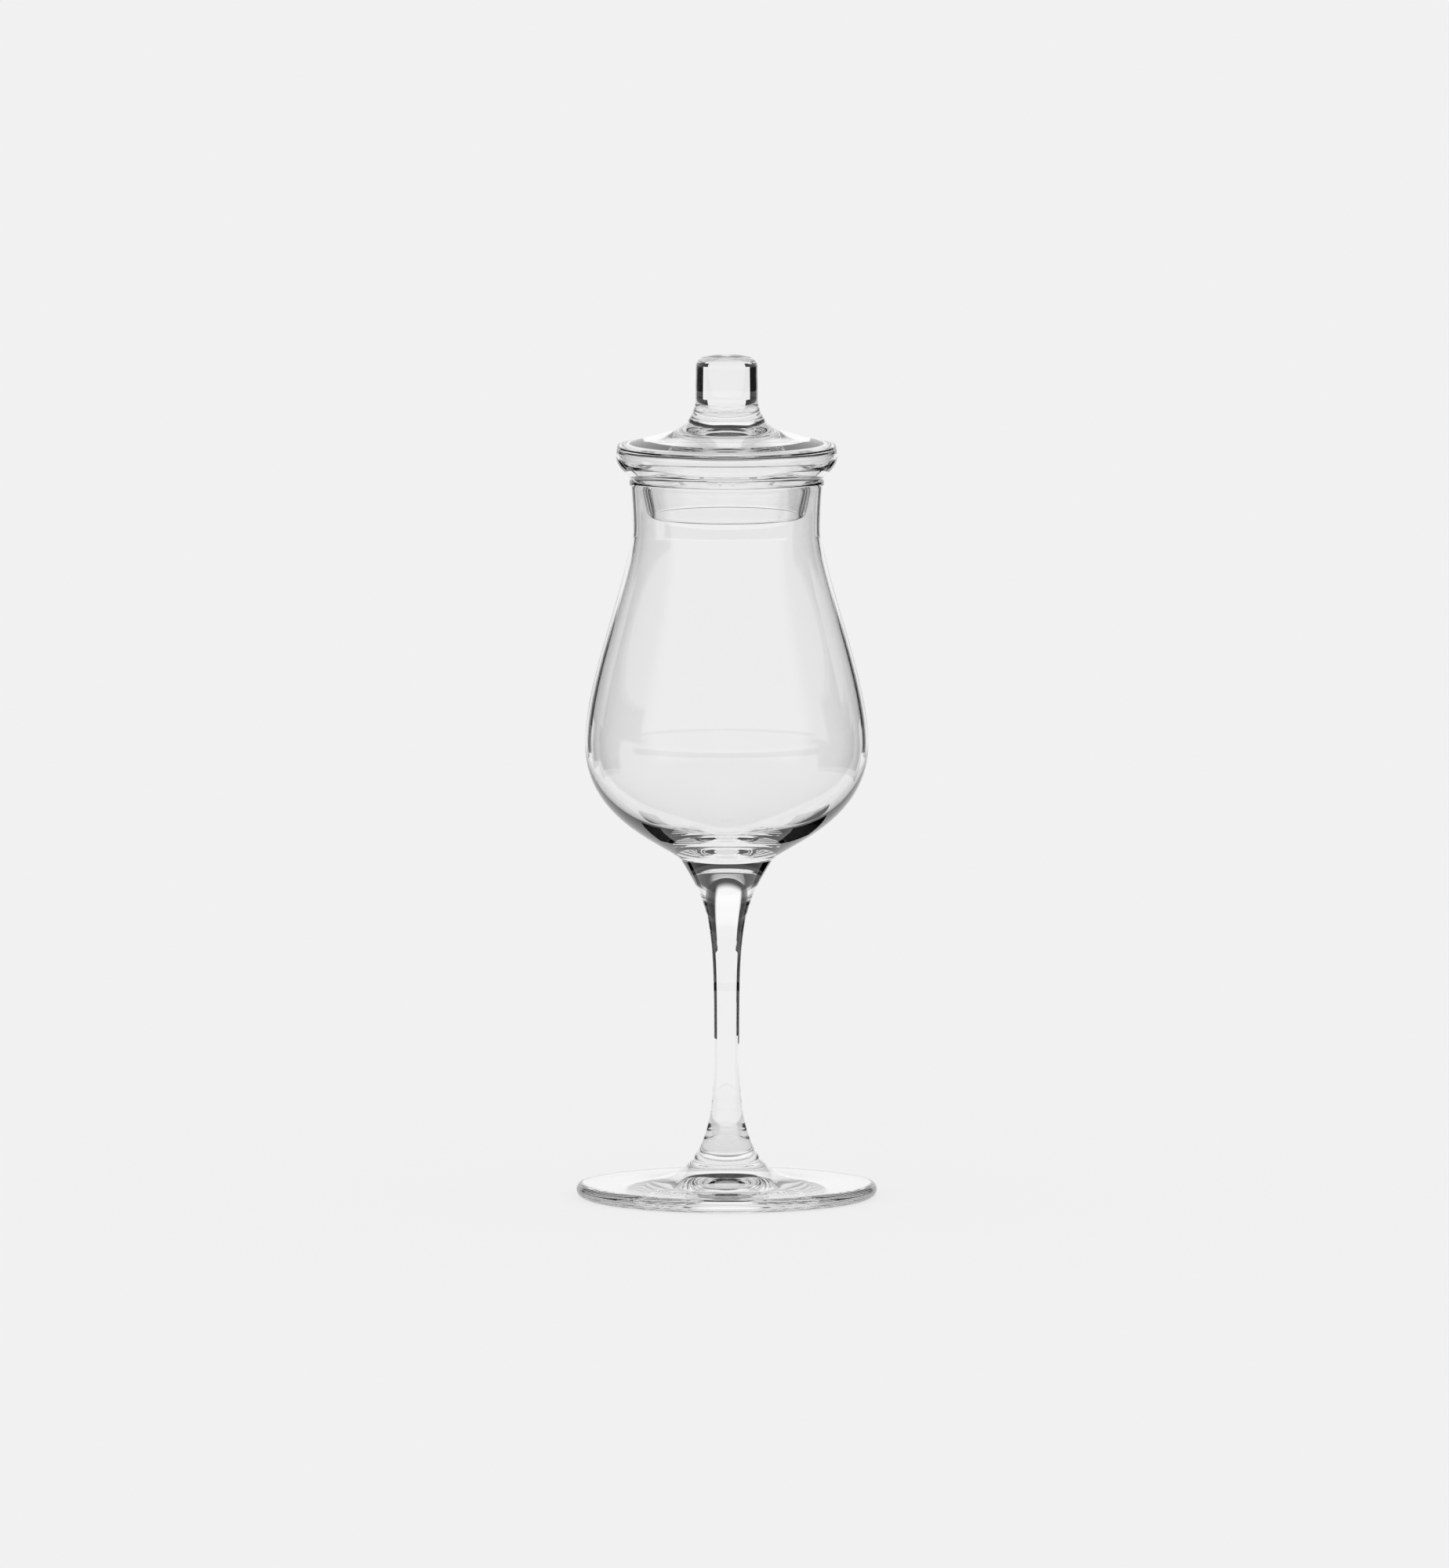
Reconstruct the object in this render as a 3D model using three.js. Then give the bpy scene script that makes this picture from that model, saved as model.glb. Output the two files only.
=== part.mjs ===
// A stemmed tasting glass with a loose lid, all in clear glass.
// Millimetres, +Z up. The glass stands on the table at height 0 and its axis is the Z axis.

import * as THREE from 'three';

// Foot: a solid disc with a round edge, hollowed a little underneath
const footRadius = 33.0;
const footEdgeHeight = 3.0;
const restRingWidth = 15.5;
const footHollowRise = 2.4;
const footHollowPull = 6.3;
const footCrownPull = 12.2;
const instepPull = 7.4;

// Stem: a solid drawn rod that flares into the foot below and into the bowl above
const stemFootHeight = 9.1;
const stemFootRadius = 6.85;
const stemFootAngle = 31;
const anklePull = 7.7;
const slimHeight = 36.0;
const slimRadius = 2.8;
const slimPullDown = 12.2;
const slimPullUp = 24.2;
const stemLength = 65.3;
const stemBowlRadius = 10.1;
const stemBowlAngle = 32;
const throatPull = 12.2;

// Bowl: a blown tulip, thin at the rim and thicker towards its floor
const bowlHeight = 83.8;
const rimWall = 1.0;
const bellyWall = 1.3;
const bowlFloor = 2.6;
const bowlFloorPull = 7.1;
const soleAngle = 45;
const bowlSolePull = 5.0;
const bellyRise = 25.6;
const bellyRadius = 31.1;
const bellyPullDown = 16.85;
const bellyInnerPullDown = 17.15;
const bellyPullUp = 14.6;
const neckDrop = 10.9;
const rimFlare = 0.55;
const neckPullDown = 9.4;
const neckPullUp = 1.6;
const rimRadius = 21.35;
const rimFlareAngle = 5;
const rimPull = 5.4;

// Lid shell: a blown hollow cap whose collar hangs loose inside the bowl's neck
const collarDepth = 8.2;
const collarClearance = 0.9;
const collarTaper = 1.45;
const collarWall = 1.5;
const seatInset = 0.6;
const seatFillet = 0.5;
const flangeOverhang = 2.9;
const flangeWall = 0.8;
const flangeMidRise = 5.0;
const flangeThroatAngle = 40;
const flangeThroatPull = 1.3;
const flangePullDown = 2.3;
const flangePullUp = 1.2;
const flangeEdgeRise = 7.4;
const flangeEdgeInset = 0.3;
const flangeEdgeRound = 0.15;
const flangeEdgeAngle = 20;
const boreDrop = 1.2;
const borePull = 2.5;
const roofThickness = 1.1;
const roofRise = 11.0;
const roofPull = 4.0;
const roofRun = 8.0;
const roofShoulderRadius = 18.0;
const roofEdgeSlope = 8.5;
const roofEdgePull = 4.8;
const roofEdgeDrop = 2.0;
const domeRadius = 12.0;
const domeSlope = 14.5;
const domePull = 2.2;

// Lid knob: a solid button of glass fused to the top of the shell
const knobSeatRise = 15.0;
const knobSeatRadius = 7.4;
const knobSeatAngle = 22;
const knobSeatPull = 2.8;
const knobWaistRise = 3.3;
const knobWaistRadius = 6.85;
const knobHeight = 12.4;
const knobTopRadius = 6.75;
const knobTopRound = 2.0;
const knobCrownRise = 0.5;

// Facets round the axis, and along each curve of a piece's profile
const turnSteps = 40;
const footSteps = 5;
const stemSteps = 8;
const bowlSteps = 9;
const shellSteps = 5;
const knobSteps = 4;

// Heights and radii that follow from the sizes above
const stemTop = stemFootHeight + stemLength;
const rimTop = stemTop + bowlHeight;
const bellyHeight = stemTop + bellyRise;
const neckHeight = rimTop - neckDrop;
const neckRadius = rimRadius - rimFlare;
const floorHeight = stemTop + bowlFloor;
const footEdgeRadius = footEdgeHeight / 2;
const restOuterRadius = footRadius - footEdgeRadius;
const restInnerRadius = restOuterRadius - restRingWidth;

const collarTopRadius = neckRadius - rimWall - collarClearance;
const collarFootRadius = collarTopRadius - collarTaper;
const collarFoot = rimTop - collarDepth;
const seatRadius = rimRadius - seatInset;
const flangeRadius = rimRadius + flangeOverhang;
const flangeMid = rimTop + flangeMidRise;
const flangeEdge = rimTop + flangeEdgeRise;
const flangeEdgeRadius = flangeRadius - flangeEdgeInset;
const domeTilt = Math.tan(THREE.MathUtils.degToRad(domeSlope));
const domeEdgeRadius = flangeEdgeRadius - flangeEdgeRound;
const domeEdge = flangeEdge + flangeEdgeRound;
const domeHeight = domeEdge + (domeEdgeRadius - domeRadius) * domeTilt;
const roofDrop = roofThickness / Math.cos(THREE.MathUtils.degToRad(domeSlope));
const roofShoulder = domeEdge + (domeEdgeRadius - roofShoulderRadius) * domeTilt - roofDrop;
const knobSeat = rimTop + knobSeatRise;
const knobWaist = knobSeat + knobWaistRise;
const knobTop = knobSeat + knobHeight;

// A point at a radius and a height
function at(radius, height) {
  return new THREE.Vector2(radius, height);
}

// A step of a given length, leaning outwards from straight up by an angle in degrees
function lean(angle, length) {
  const turn = THREE.MathUtils.degToRad(angle);
  return at(Math.sin(turn) * length, Math.cos(turn) * length);
}

// A profile that starts on the axis at a height
function startOnAxis(height) {
  const profile = new THREE.Path();
  profile.moveTo(0, height);
  return profile;
}

// A smooth stretch to a point, leaving along one step and arriving along another
function curveTo(profile, leaveStep, arriveStep, end) {
  const leave = profile.currentPoint.clone().add(leaveStep);
  const arrive = end.clone().sub(arriveStep);
  profile.bezierCurveTo(leave.x, leave.y, arrive.x, arrive.y, end.x, end.y);
}

// One piece of clear glass, turned about the Z axis from its profile
function glassPiece(name, profile, steps) {
  const geometry = new THREE.LatheGeometry(profile.getPoints(steps), turnSteps);
  geometry.rotateX(Math.PI / 2);
  const material = new THREE.MeshStandardMaterial({
    color: 0xf4f7f6,
    roughness: 0.02,
    metalness: 0,
    transparent: true,
    opacity: 0.3,
  });
  const piece = new THREE.Mesh(geometry, material);
  piece.name = name;
  return piece;
}

// The foot stands on a flat ring and rises to the flat face that carries the stem.
function makeFoot() {
  const profile = startOnAxis(footHollowRise);
  curveTo(profile, at(footHollowPull, 0), at(footHollowPull, 0), at(restInnerRadius, 0));
  profile.lineTo(restOuterRadius, 0);
  profile.absarc(restOuterRadius, footEdgeRadius, footEdgeRadius, -Math.PI / 2, Math.PI / 2);
  const stemFootStep = lean(-stemFootAngle, instepPull);
  curveTo(profile, at(-footCrownPull, 0), stemFootStep, at(stemFootRadius, stemFootHeight));
  profile.lineTo(0, stemFootHeight);
  return glassPiece('foot', profile, footSteps);
}

// The stem runs from the foot's flat face to the bowl's sole.
function makeStem() {
  const profile = startOnAxis(stemFootHeight);
  profile.lineTo(stemFootRadius, stemFootHeight);
  const ankleStep = lean(-stemFootAngle, anklePull);
  curveTo(profile, ankleStep, at(0, slimPullDown), at(slimRadius, slimHeight));
  const throatStep = lean(stemBowlAngle, throatPull);
  curveTo(profile, at(0, slimPullUp), throatStep, at(stemBowlRadius, stemTop));
  profile.lineTo(0, stemTop);
  return glassPiece('stem', profile, stemSteps);
}

// The bowl goes up outside from its sole to the rim, and down inside to its floor.
function makeBowl() {
  const profile = startOnAxis(stemTop);
  profile.lineTo(stemBowlRadius, stemTop);
  const soleStep = lean(soleAngle, bowlSolePull);
  curveTo(profile, soleStep, at(0, bellyPullDown), at(bellyRadius, bellyHeight));
  curveTo(profile, at(0, bellyPullUp), at(0, neckPullDown), at(neckRadius, neckHeight));
  const rimStep = lean(rimFlareAngle, rimPull);
  curveTo(profile, at(0, neckPullUp), rimStep, at(rimRadius, rimTop));
  profile.lineTo(rimRadius - rimWall, rimTop);
  const down = rimStep.clone().negate();
  curveTo(profile, down, at(0, -neckPullUp), at(neckRadius - rimWall, neckHeight));
  curveTo(profile, at(0, -neckPullDown), at(0, -bellyPullUp), at(bellyRadius - bellyWall, bellyHeight));
  curveTo(profile, at(0, -bellyInnerPullDown), at(-bowlFloorPull, 0), at(0, floorHeight));
  return glassPiece('bowl', profile, bowlSteps);
}

// The shell goes from its roof down inside to the collar's foot, and up outside to the knob's seat.
function makeLidShell() {
  const boreFoot = at(collarFootRadius - collarWall, collarFoot);
  const boreTop = at(collarTopRadius - collarWall, rimTop - boreDrop);
  const boreStep = boreFoot.clone().sub(boreTop).setLength(borePull);
  const roofStep = lean(90 + domeSlope, roofRun);
  const roofEdgeStep = lean(90 + roofEdgeSlope, roofEdgePull);
  const profile = startOnAxis(rimTop + roofRise);
  curveTo(profile, at(roofPull, 0), roofStep, at(roofShoulderRadius, roofShoulder));
  curveTo(profile, roofEdgeStep, at(0, -roofEdgeDrop), at(flangeRadius - flangeWall, flangeMid));
  curveTo(profile, at(0, -flangePullDown), boreStep, boreTop);
  profile.lineTo(boreFoot.x, boreFoot.y);
  profile.lineTo(collarFootRadius, collarFoot);
  profile.lineTo(collarTopRadius, rimTop - seatFillet);
  profile.lineTo(collarTopRadius + seatFillet, rimTop);
  profile.lineTo(seatRadius, rimTop);
  const throatStep = lean(flangeThroatAngle, flangeThroatPull);
  curveTo(profile, throatStep, at(0, flangePullDown), at(flangeRadius, flangeMid));
  const edgeStep = lean(-flangeEdgeAngle, flangeEdgeRound);
  curveTo(profile, at(0, flangePullUp), edgeStep, at(flangeEdgeRadius, flangeEdge));
  profile.lineTo(domeEdgeRadius, domeEdge);
  profile.lineTo(domeRadius, domeHeight);
  const domeStep = lean(domeSlope - 90, domePull);
  const knobStep = lean(-knobSeatAngle, knobSeatPull);
  curveTo(profile, domeStep, knobStep, at(knobSeatRadius, knobSeat));
  profile.lineTo(0, knobSeat);
  return glassPiece('lid_shell', profile, shellSteps);
}

// The knob stands on the shell's seat.
function makeLidKnob() {
  const shoulder = knobTop - knobCrownRise - knobTopRound;
  const crownRadius = knobTopRadius - knobTopRound;
  const profile = startOnAxis(knobSeat);
  profile.lineTo(knobSeatRadius, knobSeat);
  const seatStep = lean(-knobSeatAngle, knobWaistRise / 3);
  curveTo(profile, seatStep, at(0, knobWaistRise / 3), at(knobWaistRadius, knobWaist));
  profile.lineTo(knobTopRadius, shoulder);
  profile.absarc(crownRadius, shoulder, knobTopRound, 0, Math.PI / 2);
  curveTo(profile, at(-crownRadius / 3, knobCrownRise), at(-crownRadius / 3, 0), at(0, knobTop));
  return glassPiece('lid_knob', profile, knobSteps);
}

const lid = new THREE.Group();
lid.add(makeLidShell(), makeLidKnob());

const glass = new THREE.Group();
glass.add(makeFoot(), makeStem(), makeBowl(), lid);

export default glass;
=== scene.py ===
import math

import bpy
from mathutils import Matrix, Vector
from mathutils.geometry import interpolate_bezier


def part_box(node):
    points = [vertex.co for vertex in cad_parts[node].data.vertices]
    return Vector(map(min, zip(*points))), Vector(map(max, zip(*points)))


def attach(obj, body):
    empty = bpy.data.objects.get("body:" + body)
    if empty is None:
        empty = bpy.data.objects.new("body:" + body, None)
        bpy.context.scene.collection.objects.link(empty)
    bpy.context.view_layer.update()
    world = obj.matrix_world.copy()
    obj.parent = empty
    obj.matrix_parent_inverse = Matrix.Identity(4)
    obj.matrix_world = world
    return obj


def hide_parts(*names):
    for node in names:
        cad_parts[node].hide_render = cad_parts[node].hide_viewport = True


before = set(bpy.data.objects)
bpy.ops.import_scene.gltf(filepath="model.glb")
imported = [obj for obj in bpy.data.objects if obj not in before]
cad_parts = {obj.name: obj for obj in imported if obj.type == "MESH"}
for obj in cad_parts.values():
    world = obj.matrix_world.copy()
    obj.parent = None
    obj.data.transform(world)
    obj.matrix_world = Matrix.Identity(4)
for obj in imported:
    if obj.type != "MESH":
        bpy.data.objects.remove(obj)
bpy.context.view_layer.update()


# Foot
# A solid disc of clear glass, spread from its own gather and fire-polished, with a round edge.
# It stands on a flat ring round a slightly hollowed middle, and the stem is drawn up out of it.
MM = 0.001
TURN_STEPS = 192
CURVE_STEPS = 40
SHARP_ANGLE = math.radians(28)


def lean(angle, length):
    """A step that leans outwards from straight up by an angle in degrees."""
    turn = math.radians(angle)
    return math.sin(turn) * length, math.cos(turn) * length


def bend(start, leave, arrive, end, steps=CURVE_STEPS):
    """A smooth stretch of a profile, leaving its start along one step and reaching its end along another."""
    start, leave, arrive, end = (Vector(p) for p in (start, leave, arrive, end))
    return [tuple(p) for p in interpolate_bezier(start, start + leave, end - arrive, end, steps)]


def round_edge(centre, radius, first, last, steps=12):
    """An arc of a profile round its centre, between two angles in degrees."""
    turns = [math.radians(first + (last - first) * i / (steps - 1)) for i in range(steps)]
    return [(centre[0] + radius * math.cos(t), centre[1] + radius * math.sin(t)) for t in turns]


def straight(start, end, steps=2):
    """A straight stretch of a profile."""
    start, end = Vector(start), Vector(end)
    return [tuple(start.lerp(end, i / (steps - 1))) for i in range(steps)]


def clear_glass(name, tint, ripple_size, ripple_depth):
    """Colourless fire-polished glass whose surface keeps the faint waves of hot working."""
    glass = bpy.data.materials.new(name)
    glass.use_nodes = True
    nodes, links = glass.node_tree.nodes, glass.node_tree.links
    shader = nodes["Principled BSDF"]
    shader.inputs["Base Color"].default_value = (*tint, 1)
    shader.inputs["Roughness"].default_value = 0.0
    shader.inputs["IOR"].default_value = 1.5
    shader.inputs["Transmission Weight"].default_value = 1.0
    place = nodes.new("ShaderNodeTexCoord")
    waves = nodes.new("ShaderNodeTexNoise")
    waves.inputs["Scale"].default_value = 1 / ripple_size
    waves.inputs["Detail"].default_value = 1.0
    bump = nodes.new("ShaderNodeBump")
    bump.inputs["Strength"].default_value = 1.0
    bump.inputs["Distance"].default_value = ripple_depth
    links.new(place.outputs["Object"], waves.inputs["Vector"])
    links.new(waves.outputs["Fac"], bump.inputs["Height"])
    links.new(bump.outputs["Normal"], shader.inputs["Normal"])
    return glass


def fused_joint(name):
    """The face where two gathers were joined hot: glass meets glass there, so light goes straight on."""
    joint = bpy.data.materials.new(name)
    joint.use_nodes = True
    shader = joint.node_tree.nodes["Principled BSDF"]
    shader.inputs["Alpha"].default_value = 0.0
    return joint


def turned_piece(name, profile, glass, joint):
    """A closed piece of glass turned about the Z axis from a list of (stretch, is a fused joint)."""
    points, fused_after = [], []
    for stretch, fused in profile:
        for point in stretch if not points else stretch[1:]:
            if points:
                fused_after.append(fused)
            points.append(point)
    verts, rings = [], []
    for radius, height in points:
        count = TURN_STEPS if radius > 1e-7 else 1
        rings.append(range(len(verts), len(verts) + count))
        for k in range(count):
            turn = 2 * math.pi * k / TURN_STEPS
            verts.append((radius * math.cos(turn), radius * math.sin(turn), height))
    faces, slots = [], []
    for low, high, fused in zip(rings, rings[1:], fused_after):
        for k in range(TURN_STEPS):
            ahead = (k + 1) % TURN_STEPS
            if len(low) == 1:
                face = (low[0], high[ahead], high[k])
            elif len(high) == 1:
                face = (low[k], low[ahead], high[0])
            else:
                face = (low[k], low[ahead], high[ahead], high[k])
            faces.append(face)
            slots.append(1 if fused else 0)
    mesh = bpy.data.meshes.new(name)
    mesh.from_pydata(verts, [], faces)
    mesh.materials.append(glass)
    mesh.materials.append(joint)
    mesh.polygons.foreach_set("material_index", slots)
    mesh.shade_smooth()
    mesh.set_sharp_from_angle(angle=SHARP_ANGLE)
    piece = bpy.data.objects.new(name, mesh)
    bpy.context.scene.collection.objects.link(piece)
    return piece


foot_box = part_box("foot")
FOOT_RADIUS = foot_box[1].x
FOOT_TOP = foot_box[1].z
FOOT_EDGE_RADIUS = 1.5 * MM
REST_RING_WIDTH = 15.5 * MM
FOOT_HOLLOW_RISE = 2.4 * MM
FOOT_HOLLOW_PULL = 6.3 * MM
FOOT_CROWN_PULL = 12.2 * MM
INSTEP_PULL = 7.4 * MM
STEM_FOOT_RADIUS = 6.85 * MM
STEM_FOOT_ANGLE = 31

rest_outer = FOOT_RADIUS - FOOT_EDGE_RADIUS
rest_inner = rest_outer - REST_RING_WIDTH
stem_foot = (STEM_FOOT_RADIUS, FOOT_TOP)
hollow_step = (FOOT_HOLLOW_PULL, 0)
foot_profile = [
    (bend((0, FOOT_HOLLOW_RISE), hollow_step, hollow_step, (rest_inner, 0)), False),
    (straight((rest_inner, 0), (rest_outer, 0), 6), False),
    (round_edge((rest_outer, FOOT_EDGE_RADIUS), FOOT_EDGE_RADIUS, -90, 90, 24), False),
    (bend((rest_outer, 2 * FOOT_EDGE_RADIUS), (-FOOT_CROWN_PULL, 0),
          lean(-STEM_FOOT_ANGLE, INSTEP_PULL), stem_foot, 70), False),
    (straight(stem_foot, (0, FOOT_TOP), 6), True),
]
solid_glass = clear_glass("solid_glass", (0.988, 0.989, 0.988), 9 * MM, 0.004 * MM)
hot_joint = fused_joint("hot_joint")
foot = turned_piece("foot_disc", foot_profile, solid_glass, hot_joint)
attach(foot, "glass")
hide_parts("foot")


# Stem
# A solid rod of the same glass, drawn out hot between the foot and the bowl.
# It is slimmest a third of the way up and flares at both ends, where it is fused on.
stem_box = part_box("stem")
STEM_TOP = stem_box[1].z
ANKLE_PULL = 7.7 * MM
SLIM_HEIGHT = 36.0 * MM
SLIM_RADIUS = 2.8 * MM
SLIM_PULL_DOWN = 12.2 * MM
SLIM_PULL_UP = 24.2 * MM
STEM_BOWL_RADIUS = 10.1 * MM
STEM_BOWL_ANGLE = 32
THROAT_PULL = 12.2 * MM

slim = (SLIM_RADIUS, SLIM_HEIGHT)
sole_edge = (STEM_BOWL_RADIUS, STEM_TOP)
stem_profile = [
    (straight((0, FOOT_TOP), stem_foot, 6), True),
    (bend(stem_foot, lean(-STEM_FOOT_ANGLE, ANKLE_PULL), (0, SLIM_PULL_DOWN), slim, 90), False),
    (bend(slim, (0, SLIM_PULL_UP), lean(STEM_BOWL_ANGLE, THROAT_PULL), sole_edge, 110), False),
    (straight(sole_edge, (0, STEM_TOP), 6), True),
]
stem = turned_piece("drawn_stem", stem_profile, solid_glass, hot_joint)
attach(stem, "glass")
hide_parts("stem")


# Bowl
# A thin tulip blown in clear glass on a thick floor, narrowed at the neck and flared a little at the mouth.
# Its sole is fused to the stem, and its rim is cut and fire-polished round.
bowl_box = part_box("bowl")
RIM_TOP = bowl_box[1].z
BELLY_RADIUS = bowl_box[1].x
RIM_WALL = 1.0 * MM
BELLY_WALL = 1.3 * MM
BOWL_FLOOR = 2.6 * MM
BOWL_FLOOR_PULL = 7.1 * MM
SOLE_ANGLE = 45
BOWL_SOLE_PULL = 5.0 * MM
BELLY_RISE = 25.6 * MM
BELLY_PULL_DOWN = 16.85 * MM
BELLY_INNER_PULL_DOWN = 17.15 * MM
BELLY_PULL_UP = 14.6 * MM
NECK_DROP = 10.9 * MM
NECK_RADIUS = 20.8 * MM
NECK_PULL_DOWN = 9.4 * MM
NECK_PULL_UP = 1.6 * MM
RIM_RADIUS = 21.35 * MM
RIM_FLARE_ANGLE = 5
RIM_PULL = 5.4 * MM
RIM_GAP = 0.05 * MM

belly_height = STEM_TOP + BELLY_RISE
neck_height = RIM_TOP - NECK_DROP
floor_height = STEM_TOP + BOWL_FLOOR
rim_height = RIM_TOP - RIM_GAP - RIM_WALL / 2
rim_step = lean(RIM_FLARE_ANGLE, RIM_PULL)
rim_down = (-rim_step[0], -rim_step[1])
belly = (BELLY_RADIUS, belly_height)
neck = (NECK_RADIUS, neck_height)
rim = (RIM_RADIUS, rim_height)
inner_belly = (BELLY_RADIUS - BELLY_WALL, belly_height)
inner_neck = (NECK_RADIUS - RIM_WALL, neck_height)
inner_rim = (RIM_RADIUS - RIM_WALL, rim_height)
bowl_profile = [
    (straight((0, STEM_TOP), sole_edge, 6), True),
    (bend(sole_edge, lean(SOLE_ANGLE, BOWL_SOLE_PULL), (0, BELLY_PULL_DOWN), belly, 70), False),
    (bend(belly, (0, BELLY_PULL_UP), (0, NECK_PULL_DOWN), neck, 60), False),
    (bend(neck, (0, NECK_PULL_UP), rim_step, rim, 20), False),
    (round_edge((RIM_RADIUS - RIM_WALL / 2, rim_height), RIM_WALL / 2, 0, 180, 14), False),
    (bend(inner_rim, rim_down, (0, -NECK_PULL_UP), inner_neck, 20), False),
    (bend(inner_neck, (0, -NECK_PULL_DOWN), (0, -BELLY_PULL_UP), inner_belly, 60), False),
    (bend(inner_belly, (0, -BELLY_INNER_PULL_DOWN), (-BOWL_FLOOR_PULL, 0), (0, floor_height), 80), False),
]
blown_glass = clear_glass("blown_glass", (0.988, 0.989, 0.988), 14 * MM, 0.004 * MM)
bowl = turned_piece("blown_bowl", bowl_profile, blown_glass, hot_joint)
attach(bowl, "glass")
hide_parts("bowl")


# Lid shell
# A blown hollow cap: a shallow dome over a bulged flange that rests on the rim.
# Its open collar hangs inside the neck with room to spare, so the lid lifts straight off.
shell_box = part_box("lid_shell")
COLLAR_FOOT = shell_box[0].z
KNOB_SEAT = shell_box[1].z
FLANGE_RADIUS = shell_box[1].x
COLLAR_TOP_RADIUS = 18.9 * MM
COLLAR_FOOT_RADIUS = 17.45 * MM
COLLAR_WALL = 1.5 * MM
COLLAR_FOOT_ROUND = 0.7 * MM
SEAT_INSET = 0.6 * MM
SEAT_FILLET = 0.5 * MM
FLANGE_WALL = 0.8 * MM
FLANGE_MID_RISE = 5.0 * MM
FLANGE_THROAT_ANGLE = 40
FLANGE_THROAT_PULL = 1.3 * MM
FLANGE_PULL_DOWN = 2.3 * MM
FLANGE_PULL_UP = 1.2 * MM
FLANGE_EDGE_RISE = 7.4 * MM
FLANGE_EDGE_INSET = 0.3 * MM
FLANGE_EDGE_ROUND = 0.15 * MM
FLANGE_EDGE_ANGLE = 20
BORE_DROP = 1.2 * MM
BORE_PULL = 2.5 * MM
ROOF_THICKNESS = 1.1 * MM
ROOF_RISE = 11.0 * MM
ROOF_PULL = 4.0 * MM
ROOF_RUN = 8.0 * MM
ROOF_SHOULDER_RADIUS = 18.0 * MM
ROOF_EDGE_SLOPE = 8.5
ROOF_EDGE_PULL = 4.8 * MM
ROOF_EDGE_DROP = 2.0 * MM
DOME_RADIUS = 12.0 * MM
DOME_SLOPE = 14.5
DOME_PULL = 2.2 * MM
KNOB_SEAT_RADIUS = 7.4 * MM
KNOB_SEAT_ANGLE = 22
KNOB_SEAT_PULL = 2.8 * MM

flange_mid = RIM_TOP + FLANGE_MID_RISE
flange_edge = RIM_TOP + FLANGE_EDGE_RISE
flange_edge_radius = FLANGE_RADIUS - FLANGE_EDGE_INSET
dome_edge = (flange_edge_radius - FLANGE_EDGE_ROUND, flange_edge + FLANGE_EDGE_ROUND)
dome_tilt = math.tan(math.radians(DOME_SLOPE))
dome_height = dome_edge[1] + (dome_edge[0] - DOME_RADIUS) * dome_tilt
roof_drop = ROOF_THICKNESS / math.cos(math.radians(DOME_SLOPE))
shoulder_height = dome_edge[1] + (dome_edge[0] - ROOF_SHOULDER_RADIUS) * dome_tilt - roof_drop
roof_shoulder = (ROOF_SHOULDER_RADIUS, shoulder_height)
roof_step = lean(90 + DOME_SLOPE, ROOF_RUN)
roof_edge_step = lean(90 + ROOF_EDGE_SLOPE, ROOF_EDGE_PULL)
bore_top = (COLLAR_TOP_RADIUS - COLLAR_WALL, RIM_TOP - BORE_DROP)
bore_foot = (COLLAR_FOOT_RADIUS - COLLAR_WALL, COLLAR_FOOT + COLLAR_FOOT_ROUND)
bore_step = BORE_PULL * (Vector(bore_foot) - Vector(bore_top)).normalized()
bore_end = (bore_foot[0] + COLLAR_FOOT_ROUND, COLLAR_FOOT)
collar_end = (COLLAR_FOOT_RADIUS - COLLAR_FOOT_ROUND, COLLAR_FOOT)
collar_foot = (COLLAR_FOOT_RADIUS, COLLAR_FOOT + COLLAR_FOOT_ROUND)
collar_top = (COLLAR_TOP_RADIUS, RIM_TOP - SEAT_FILLET)
seat_inner = (COLLAR_TOP_RADIUS + SEAT_FILLET, RIM_TOP)
seat_outer = (RIM_RADIUS - SEAT_INSET, RIM_TOP)
throat_step = lean(FLANGE_THROAT_ANGLE, FLANGE_THROAT_PULL)
flange_inner = (FLANGE_RADIUS - FLANGE_WALL, flange_mid)
flange_outer = (FLANGE_RADIUS, flange_mid)
flange_top = (flange_edge_radius, flange_edge)
edge_step = lean(-FLANGE_EDGE_ANGLE, FLANGE_EDGE_ROUND)
dome_step = lean(DOME_SLOPE - 90, DOME_PULL)
knob_step = lean(-KNOB_SEAT_ANGLE, KNOB_SEAT_PULL)
dome = (DOME_RADIUS, dome_height)
knob_seat = (KNOB_SEAT_RADIUS, KNOB_SEAT)
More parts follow.
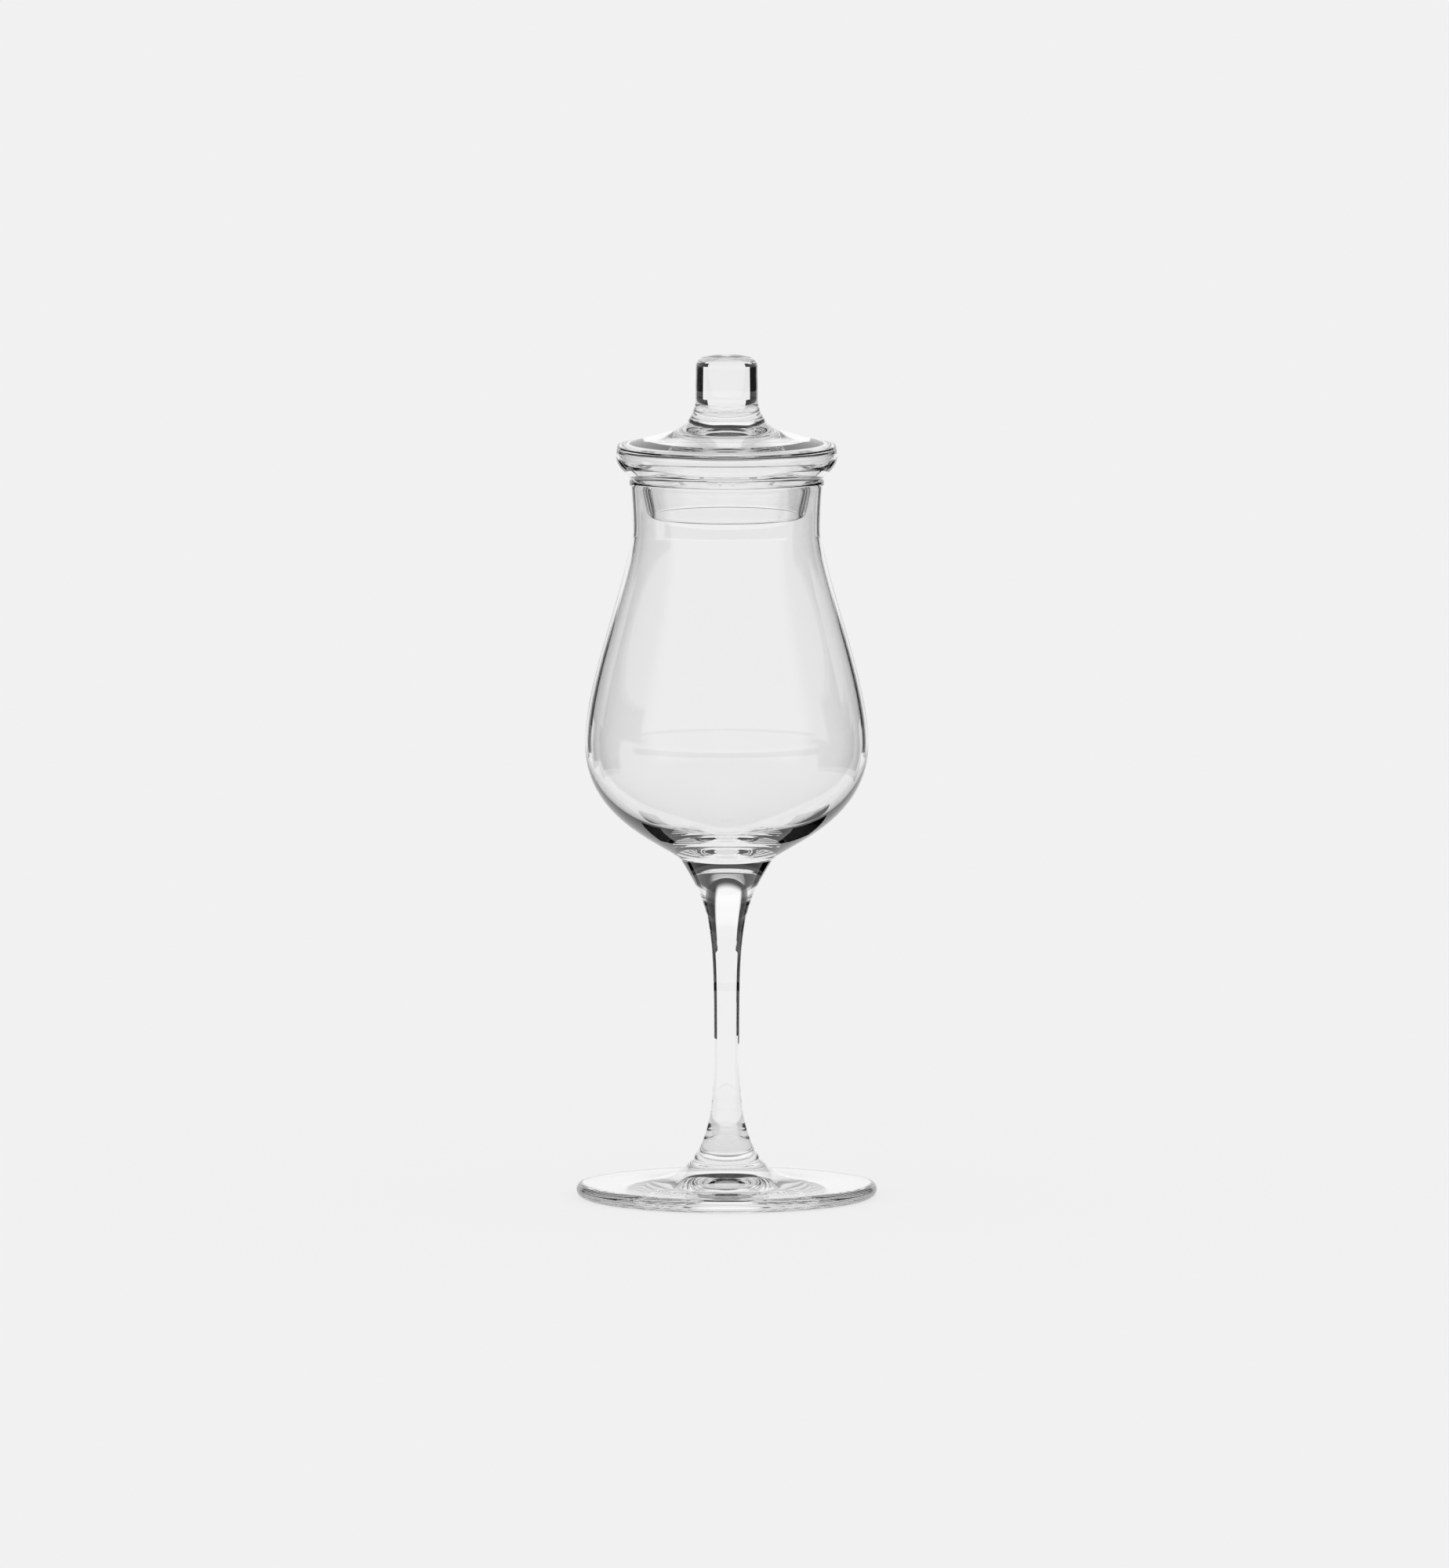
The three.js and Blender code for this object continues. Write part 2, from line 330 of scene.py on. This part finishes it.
shell_profile = [
    (bend((0, RIM_TOP + ROOF_RISE), (ROOF_PULL, 0), roof_step, roof_shoulder, 60), False),
    (bend(roof_shoulder, roof_edge_step, (0, -ROOF_EDGE_DROP), flange_inner, 30), False),
    (bend(flange_inner, (0, -FLANGE_PULL_DOWN), bore_step, bore_top, 40), False),
    (straight(bore_top, bore_foot, 12), False),
    (round_edge((bore_end[0], bore_foot[1]), COLLAR_FOOT_ROUND, 180, 270, 10), False),
    (straight(bore_end, collar_end, 4), False),
    (round_edge((collar_end[0], collar_foot[1]), COLLAR_FOOT_ROUND, 270, 360, 10), False),
    (straight(collar_foot, collar_top, 12), False),
    (bend(collar_top, (0, SEAT_FILLET / 2), (SEAT_FILLET / 2, 0), seat_inner, 8), False),
    (straight(seat_inner, seat_outer, 6), False),
    (bend(seat_outer, throat_step, (0, FLANGE_PULL_DOWN), flange_outer, 40), False),
    (bend(flange_outer, (0, FLANGE_PULL_UP), edge_step, flange_top, 20), False),
    (bend(flange_top, lean(-FLANGE_EDGE_ANGLE, FLANGE_EDGE_ROUND / 2),
          lean(DOME_SLOPE - 90, FLANGE_EDGE_ROUND / 2), dome_edge, 10), False),
    (straight(dome_edge, dome, 16), False),
    (bend(dome, dome_step, knob_step, knob_seat, 40), False),
    (straight(knob_seat, (0, KNOB_SEAT), 6), True),
]
shell = turned_piece("blown_lid_shell", shell_profile, blown_glass, hot_joint)
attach(shell, "lid")
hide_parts("lid_shell")


# Lid knob
# A solid button of clear glass, tooled to a straight side and a rounded top.
# It is fused to the crown of the dome, and the lid is lifted by it.
KNOB_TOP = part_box("lid_knob")[1].z
KNOB_WAIST_RISE = 3.3 * MM
KNOB_WAIST_RADIUS = 6.85 * MM
KNOB_TOP_RADIUS = 6.75 * MM
KNOB_TOP_ROUND = 2.0 * MM
KNOB_CROWN_RISE = 0.5 * MM

shoulder = KNOB_TOP - KNOB_CROWN_RISE - KNOB_TOP_ROUND
crown_radius = KNOB_TOP_RADIUS - KNOB_TOP_ROUND
waist = (KNOB_WAIST_RADIUS, KNOB_SEAT + KNOB_WAIST_RISE)
crown_edge = (crown_radius, shoulder + KNOB_TOP_ROUND)
crown_pull = crown_radius / 3
waist_pull = KNOB_WAIST_RISE / 3
knob_profile = [
    (straight((0, KNOB_SEAT), knob_seat, 6), True),
    (bend(knob_seat, lean(-KNOB_SEAT_ANGLE, waist_pull), (0, waist_pull), waist, 24), False),
    (straight(waist, (KNOB_TOP_RADIUS, shoulder), 16), False),
    (round_edge((crown_radius, shoulder), KNOB_TOP_ROUND, 0, 90, 30), False),
    (bend(crown_edge, (-crown_pull, KNOB_CROWN_RISE), (-crown_pull, 0), (0, KNOB_TOP), 30), False),
]
knob = turned_piece("lid_button", knob_profile, solid_glass, hot_joint)
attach(knob, "lid")
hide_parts("lid_knob")


# Floor
# A wide sheet of pale board, lit evenly so that the glass stands in a pale field.
# Most of its paleness is even, and the rest is lit by the room and keeps the glass's shadow.
PALE = 0.8796
EVEN_SHARE = 0.85
FLOOR_RADIUS = 14.0
FLOOR_STEPS = 96
FLOOR_GAP = 0.1 * MM


def seen_by_eye_or_glass(nodes, links):
    """One for a ray from the eye, a mirror or glass, and nought for a ray that only gathers light."""
    path = nodes.new("ShaderNodeLightPath")
    mirror = nodes.new("ShaderNodeMath")
    mirror.operation = "MAXIMUM"
    glassy = nodes.new("ShaderNodeMath")
    glassy.operation = "MAXIMUM"
    links.new(path.outputs["Is Camera Ray"], mirror.inputs[0])
    links.new(path.outputs["Is Glossy Ray"], mirror.inputs[1])
    links.new(mirror.outputs[0], glassy.inputs[0])
    links.new(path.outputs["Is Transmission Ray"], glassy.inputs[1])
    return path, glassy.outputs[0]


board = bpy.data.materials.new("pale_board")
board.use_nodes = True
nodes, links = board.node_tree.nodes, board.node_tree.links
nodes.remove(nodes["Principled BSDF"])
lit = nodes.new("ShaderNodeBsdfDiffuse")
lit.inputs["Color"].default_value = (PALE, PALE, PALE, 1)
even = nodes.new("ShaderNodeEmission")
even.inputs["Color"].default_value = (PALE, PALE, PALE, 1)
share = nodes.new("ShaderNodeMath")
share.operation = "MULTIPLY"
share.inputs[1].default_value = EVEN_SHARE
mixed = nodes.new("ShaderNodeMixShader")
path, seen = seen_by_eye_or_glass(nodes, links)
links.new(seen, share.inputs[0])
links.new(share.outputs[0], mixed.inputs["Fac"])
links.new(lit.outputs[0], mixed.inputs[1])
links.new(even.outputs[0], mixed.inputs[2])
links.new(mixed.outputs[0], nodes["Material Output"].inputs["Surface"])

floor_mesh = bpy.data.meshes.new("floor")
floor_turns = [2 * math.pi * k / FLOOR_STEPS for k in range(FLOOR_STEPS)]
floor_edge = [(FLOOR_RADIUS * math.cos(t), FLOOR_RADIUS * math.sin(t), -FLOOR_GAP) for t in floor_turns]
floor_mesh.from_pydata(floor_edge, [], [tuple(range(FLOOR_STEPS))])
floor_mesh.materials.append(board)
floor = bpy.data.objects.new("floor", floor_mesh)
bpy.context.scene.collection.objects.link(floor)


# Dark sheets
# Matt black sheets lie on the floor at the sides and in front, and black cards hang beside the glass,
# as a photographer sets them for clear glass. Only the glass sees them: they draw its edges dark.
# Each goes from a first to a last angle, from a near to a far distance, and from a low to a high edge.
SHEET_BLACK = 0.012
SHEET_STEPS = 24
RIGHT_SHEET = (38, 100, 0.287, 13.0, 0, 0)
RIGHT_STRIP = (27, 38, 2.3, 13.0, 0, 0)
RIGHT_CARD = (27, 38, 0.25, 0.25, 0.06, 0.13)
RIGHT_CARD_NEAR = (36, 62, 0.045, 0.045, 0.03, 0.062)
FRONT_SHEET = (100, 262, 0.95, 2.4, 0, 0)
LEFT_SHEET = (-82, -51, 0.272, 13.0, 0, 0)
LEFT_SHEET_BEHIND = (-51, -37, 0.41, 13.0, 0, 0)
LEFT_STRIP = (-37, -27, 2.3, 13.0, 0, 0)
LEFT_CARD = (-37, -27, 0.25, 0.25, 0.06, 0.13)
LEFT_CARD_NEAR = (-62, -36, 0.045, 0.045, 0.03, 0.05)

black = bpy.data.materials.new("matt_black")
black.use_nodes = True
black_shader = black.node_tree.nodes["Principled BSDF"]
black_shader.inputs["Base Color"].default_value = (SHEET_BLACK, SHEET_BLACK, SHEET_BLACK, 1)
black_shader.inputs["Roughness"].default_value = 0.9
black_shader.inputs["Specular IOR Level"].default_value = 0.0
for first, last, near, far, low, high in (
        RIGHT_SHEET, RIGHT_STRIP, RIGHT_CARD, RIGHT_CARD_NEAR, FRONT_SHEET, LEFT_SHEET,
        LEFT_SHEET_BEHIND, LEFT_STRIP, LEFT_CARD, LEFT_CARD_NEAR):
    turns = [math.radians(first + (last - first) * k / SHEET_STEPS) for k in range(SHEET_STEPS + 1)]
    outline = [(near * math.sin(t), near * math.cos(t), low) for t in turns]
    outline += [(far * math.sin(t), far * math.cos(t), high) for t in reversed(turns)]
    end = len(outline) - 1
    sheet_mesh = bpy.data.meshes.new("sheet")
    sheet_mesh.from_pydata(outline, [], [(k, k + 1, end - 1 - k, end - k) for k in range(SHEET_STEPS)])
    sheet_mesh.materials.append(black)
    sheet = bpy.data.objects.new("sheet", sheet_mesh)
    sheet.visible_camera = False
    sheet.visible_diffuse = False
    sheet.visible_shadow = False
    bpy.context.scene.collection.objects.link(sheet)


# Studio light
# The room is one even soft light. The eye sees the pale field all round it.
# What the glass mirrors and bends is a white wall behind between dark side walls, a grey wall in front
# and a dark ceiling over them.
ROOM_LIGHT = 1.0
WHITE_WALL = 1.0
DARK_SIDES = 0.01
FRONT_WALL = 0.7
CEILING = 0.05
WALL_RIGHT_EDGE = (-1, 0.54, -0.5)
WALL_LEFT_EDGE = (1, 0.56, -0.18)
EDGE_SOFTNESS = 0.07
WALL_GLOW = (0.0, 0.14)
FRONT_EDGE = (-0.15, -0.45)
CEILING_EDGE = (0.45, 0.55)

world = bpy.data.worlds.new("studio")
bpy.context.scene.world = world
world.use_nodes = True
nodes, links = world.node_tree.nodes, world.node_tree.links
backdrop = nodes["Background"]
place = nodes.new("ShaderNodeTexCoord")
axes = nodes.new("ShaderNodeSeparateXYZ")
links.new(place.outputs["Generated"], axes.inputs[0])


def soft_step(value, first, last):
    """A soft rise from nought to one while a value goes from first to last."""
    rise = nodes.new("ShaderNodeMapRange")
    rise.interpolation_type = "SMOOTHSTEP"
    rise.inputs["From Min"].default_value = first
    rise.inputs["From Max"].default_value = last
    links.new(value, rise.inputs["Value"])
    return rise.outputs[0]


def blend(share, first, last):
    """The mix of two levels of light by a share, where each may be a plain number."""
    mixer = nodes.new("ShaderNodeMix")
    for name, level in (("A", first), ("B", last)):
        if isinstance(level, float):
            mixer.inputs[name].default_value = level
        else:
            links.new(level, mixer.inputs[name])
    links.new(share, mixer.inputs["Factor"])
    return mixer.outputs[0]


def inside_edge(edge):
    """One on the wall's side of a slanting edge through the glass, and nought beyond it."""
    side = nodes.new("ShaderNodeVectorMath")
    side.operation = "DOT_PRODUCT"
    side.inputs[1].default_value = edge
    links.new(place.outputs["Generated"], side.inputs[0])
    return soft_step(side.outputs["Value"], -EDGE_SOFTNESS, EDGE_SOFTNESS)


on_wall = nodes.new("ShaderNodeMath")
on_wall.operation = "MULTIPLY"
links.new(inside_edge(WALL_RIGHT_EDGE), on_wall.inputs[0])
links.new(inside_edge(WALL_LEFT_EDGE), on_wall.inputs[1])
wall = blend(soft_step(axes.outputs["Z"], *WALL_GLOW), PALE, WHITE_WALL)
sides = blend(soft_step(axes.outputs["Y"], *FRONT_EDGE), DARK_SIDES, FRONT_WALL)
round_room = blend(on_wall.outputs[0], sides, wall)
round_room = blend(soft_step(axes.outputs["Z"], *CEILING_EDGE), round_room, CEILING)
path, seen = seen_by_eye_or_glass(nodes, links)
lit_room = blend(seen, ROOM_LIGHT, round_room)
lit_room = blend(path.outputs["Is Camera Ray"], lit_room, PALE)
links.new(lit_room, backdrop.inputs["Strength"])
backdrop.inputs["Color"].default_value = (1, 1, 1, 1)


# Camera
# A long lens far off and a little above, as a product is photographed.
# Light may pass many walls of glass before it is lost.
CAMERA_DISTANCE = 8.0
CAMERA_RISE = math.radians(6.4)
FRAME_HEIGHT = 0.344
AIM = Vector((-0.00048, 0, 0.09097))
SENSOR = 36.0
GLASS_BOUNCES = 32
MIRROR_BOUNCES = 16

lens = bpy.data.cameras.new("camera")
lens.sensor_width = SENSOR
lens.lens = SENSOR * CAMERA_DISTANCE / FRAME_HEIGHT
lens.clip_end = 100
camera = bpy.data.objects.new("camera", lens)
camera.location = AIM + CAMERA_DISTANCE * Vector((0, -math.cos(CAMERA_RISE), math.sin(CAMERA_RISE)))
camera.rotation_euler = (AIM - camera.location).to_track_quat("-Z", "Y").to_euler()
bpy.context.scene.collection.objects.link(camera)
bpy.context.scene.camera = camera

scene = bpy.context.scene
scene.view_settings.view_transform = "Standard"
scene.cycles.max_bounces = GLASS_BOUNCES
scene.cycles.transmission_bounces = GLASS_BOUNCES
scene.cycles.glossy_bounces = MIRROR_BOUNCES
scene.cycles.transparent_max_bounces = GLASS_BOUNCES
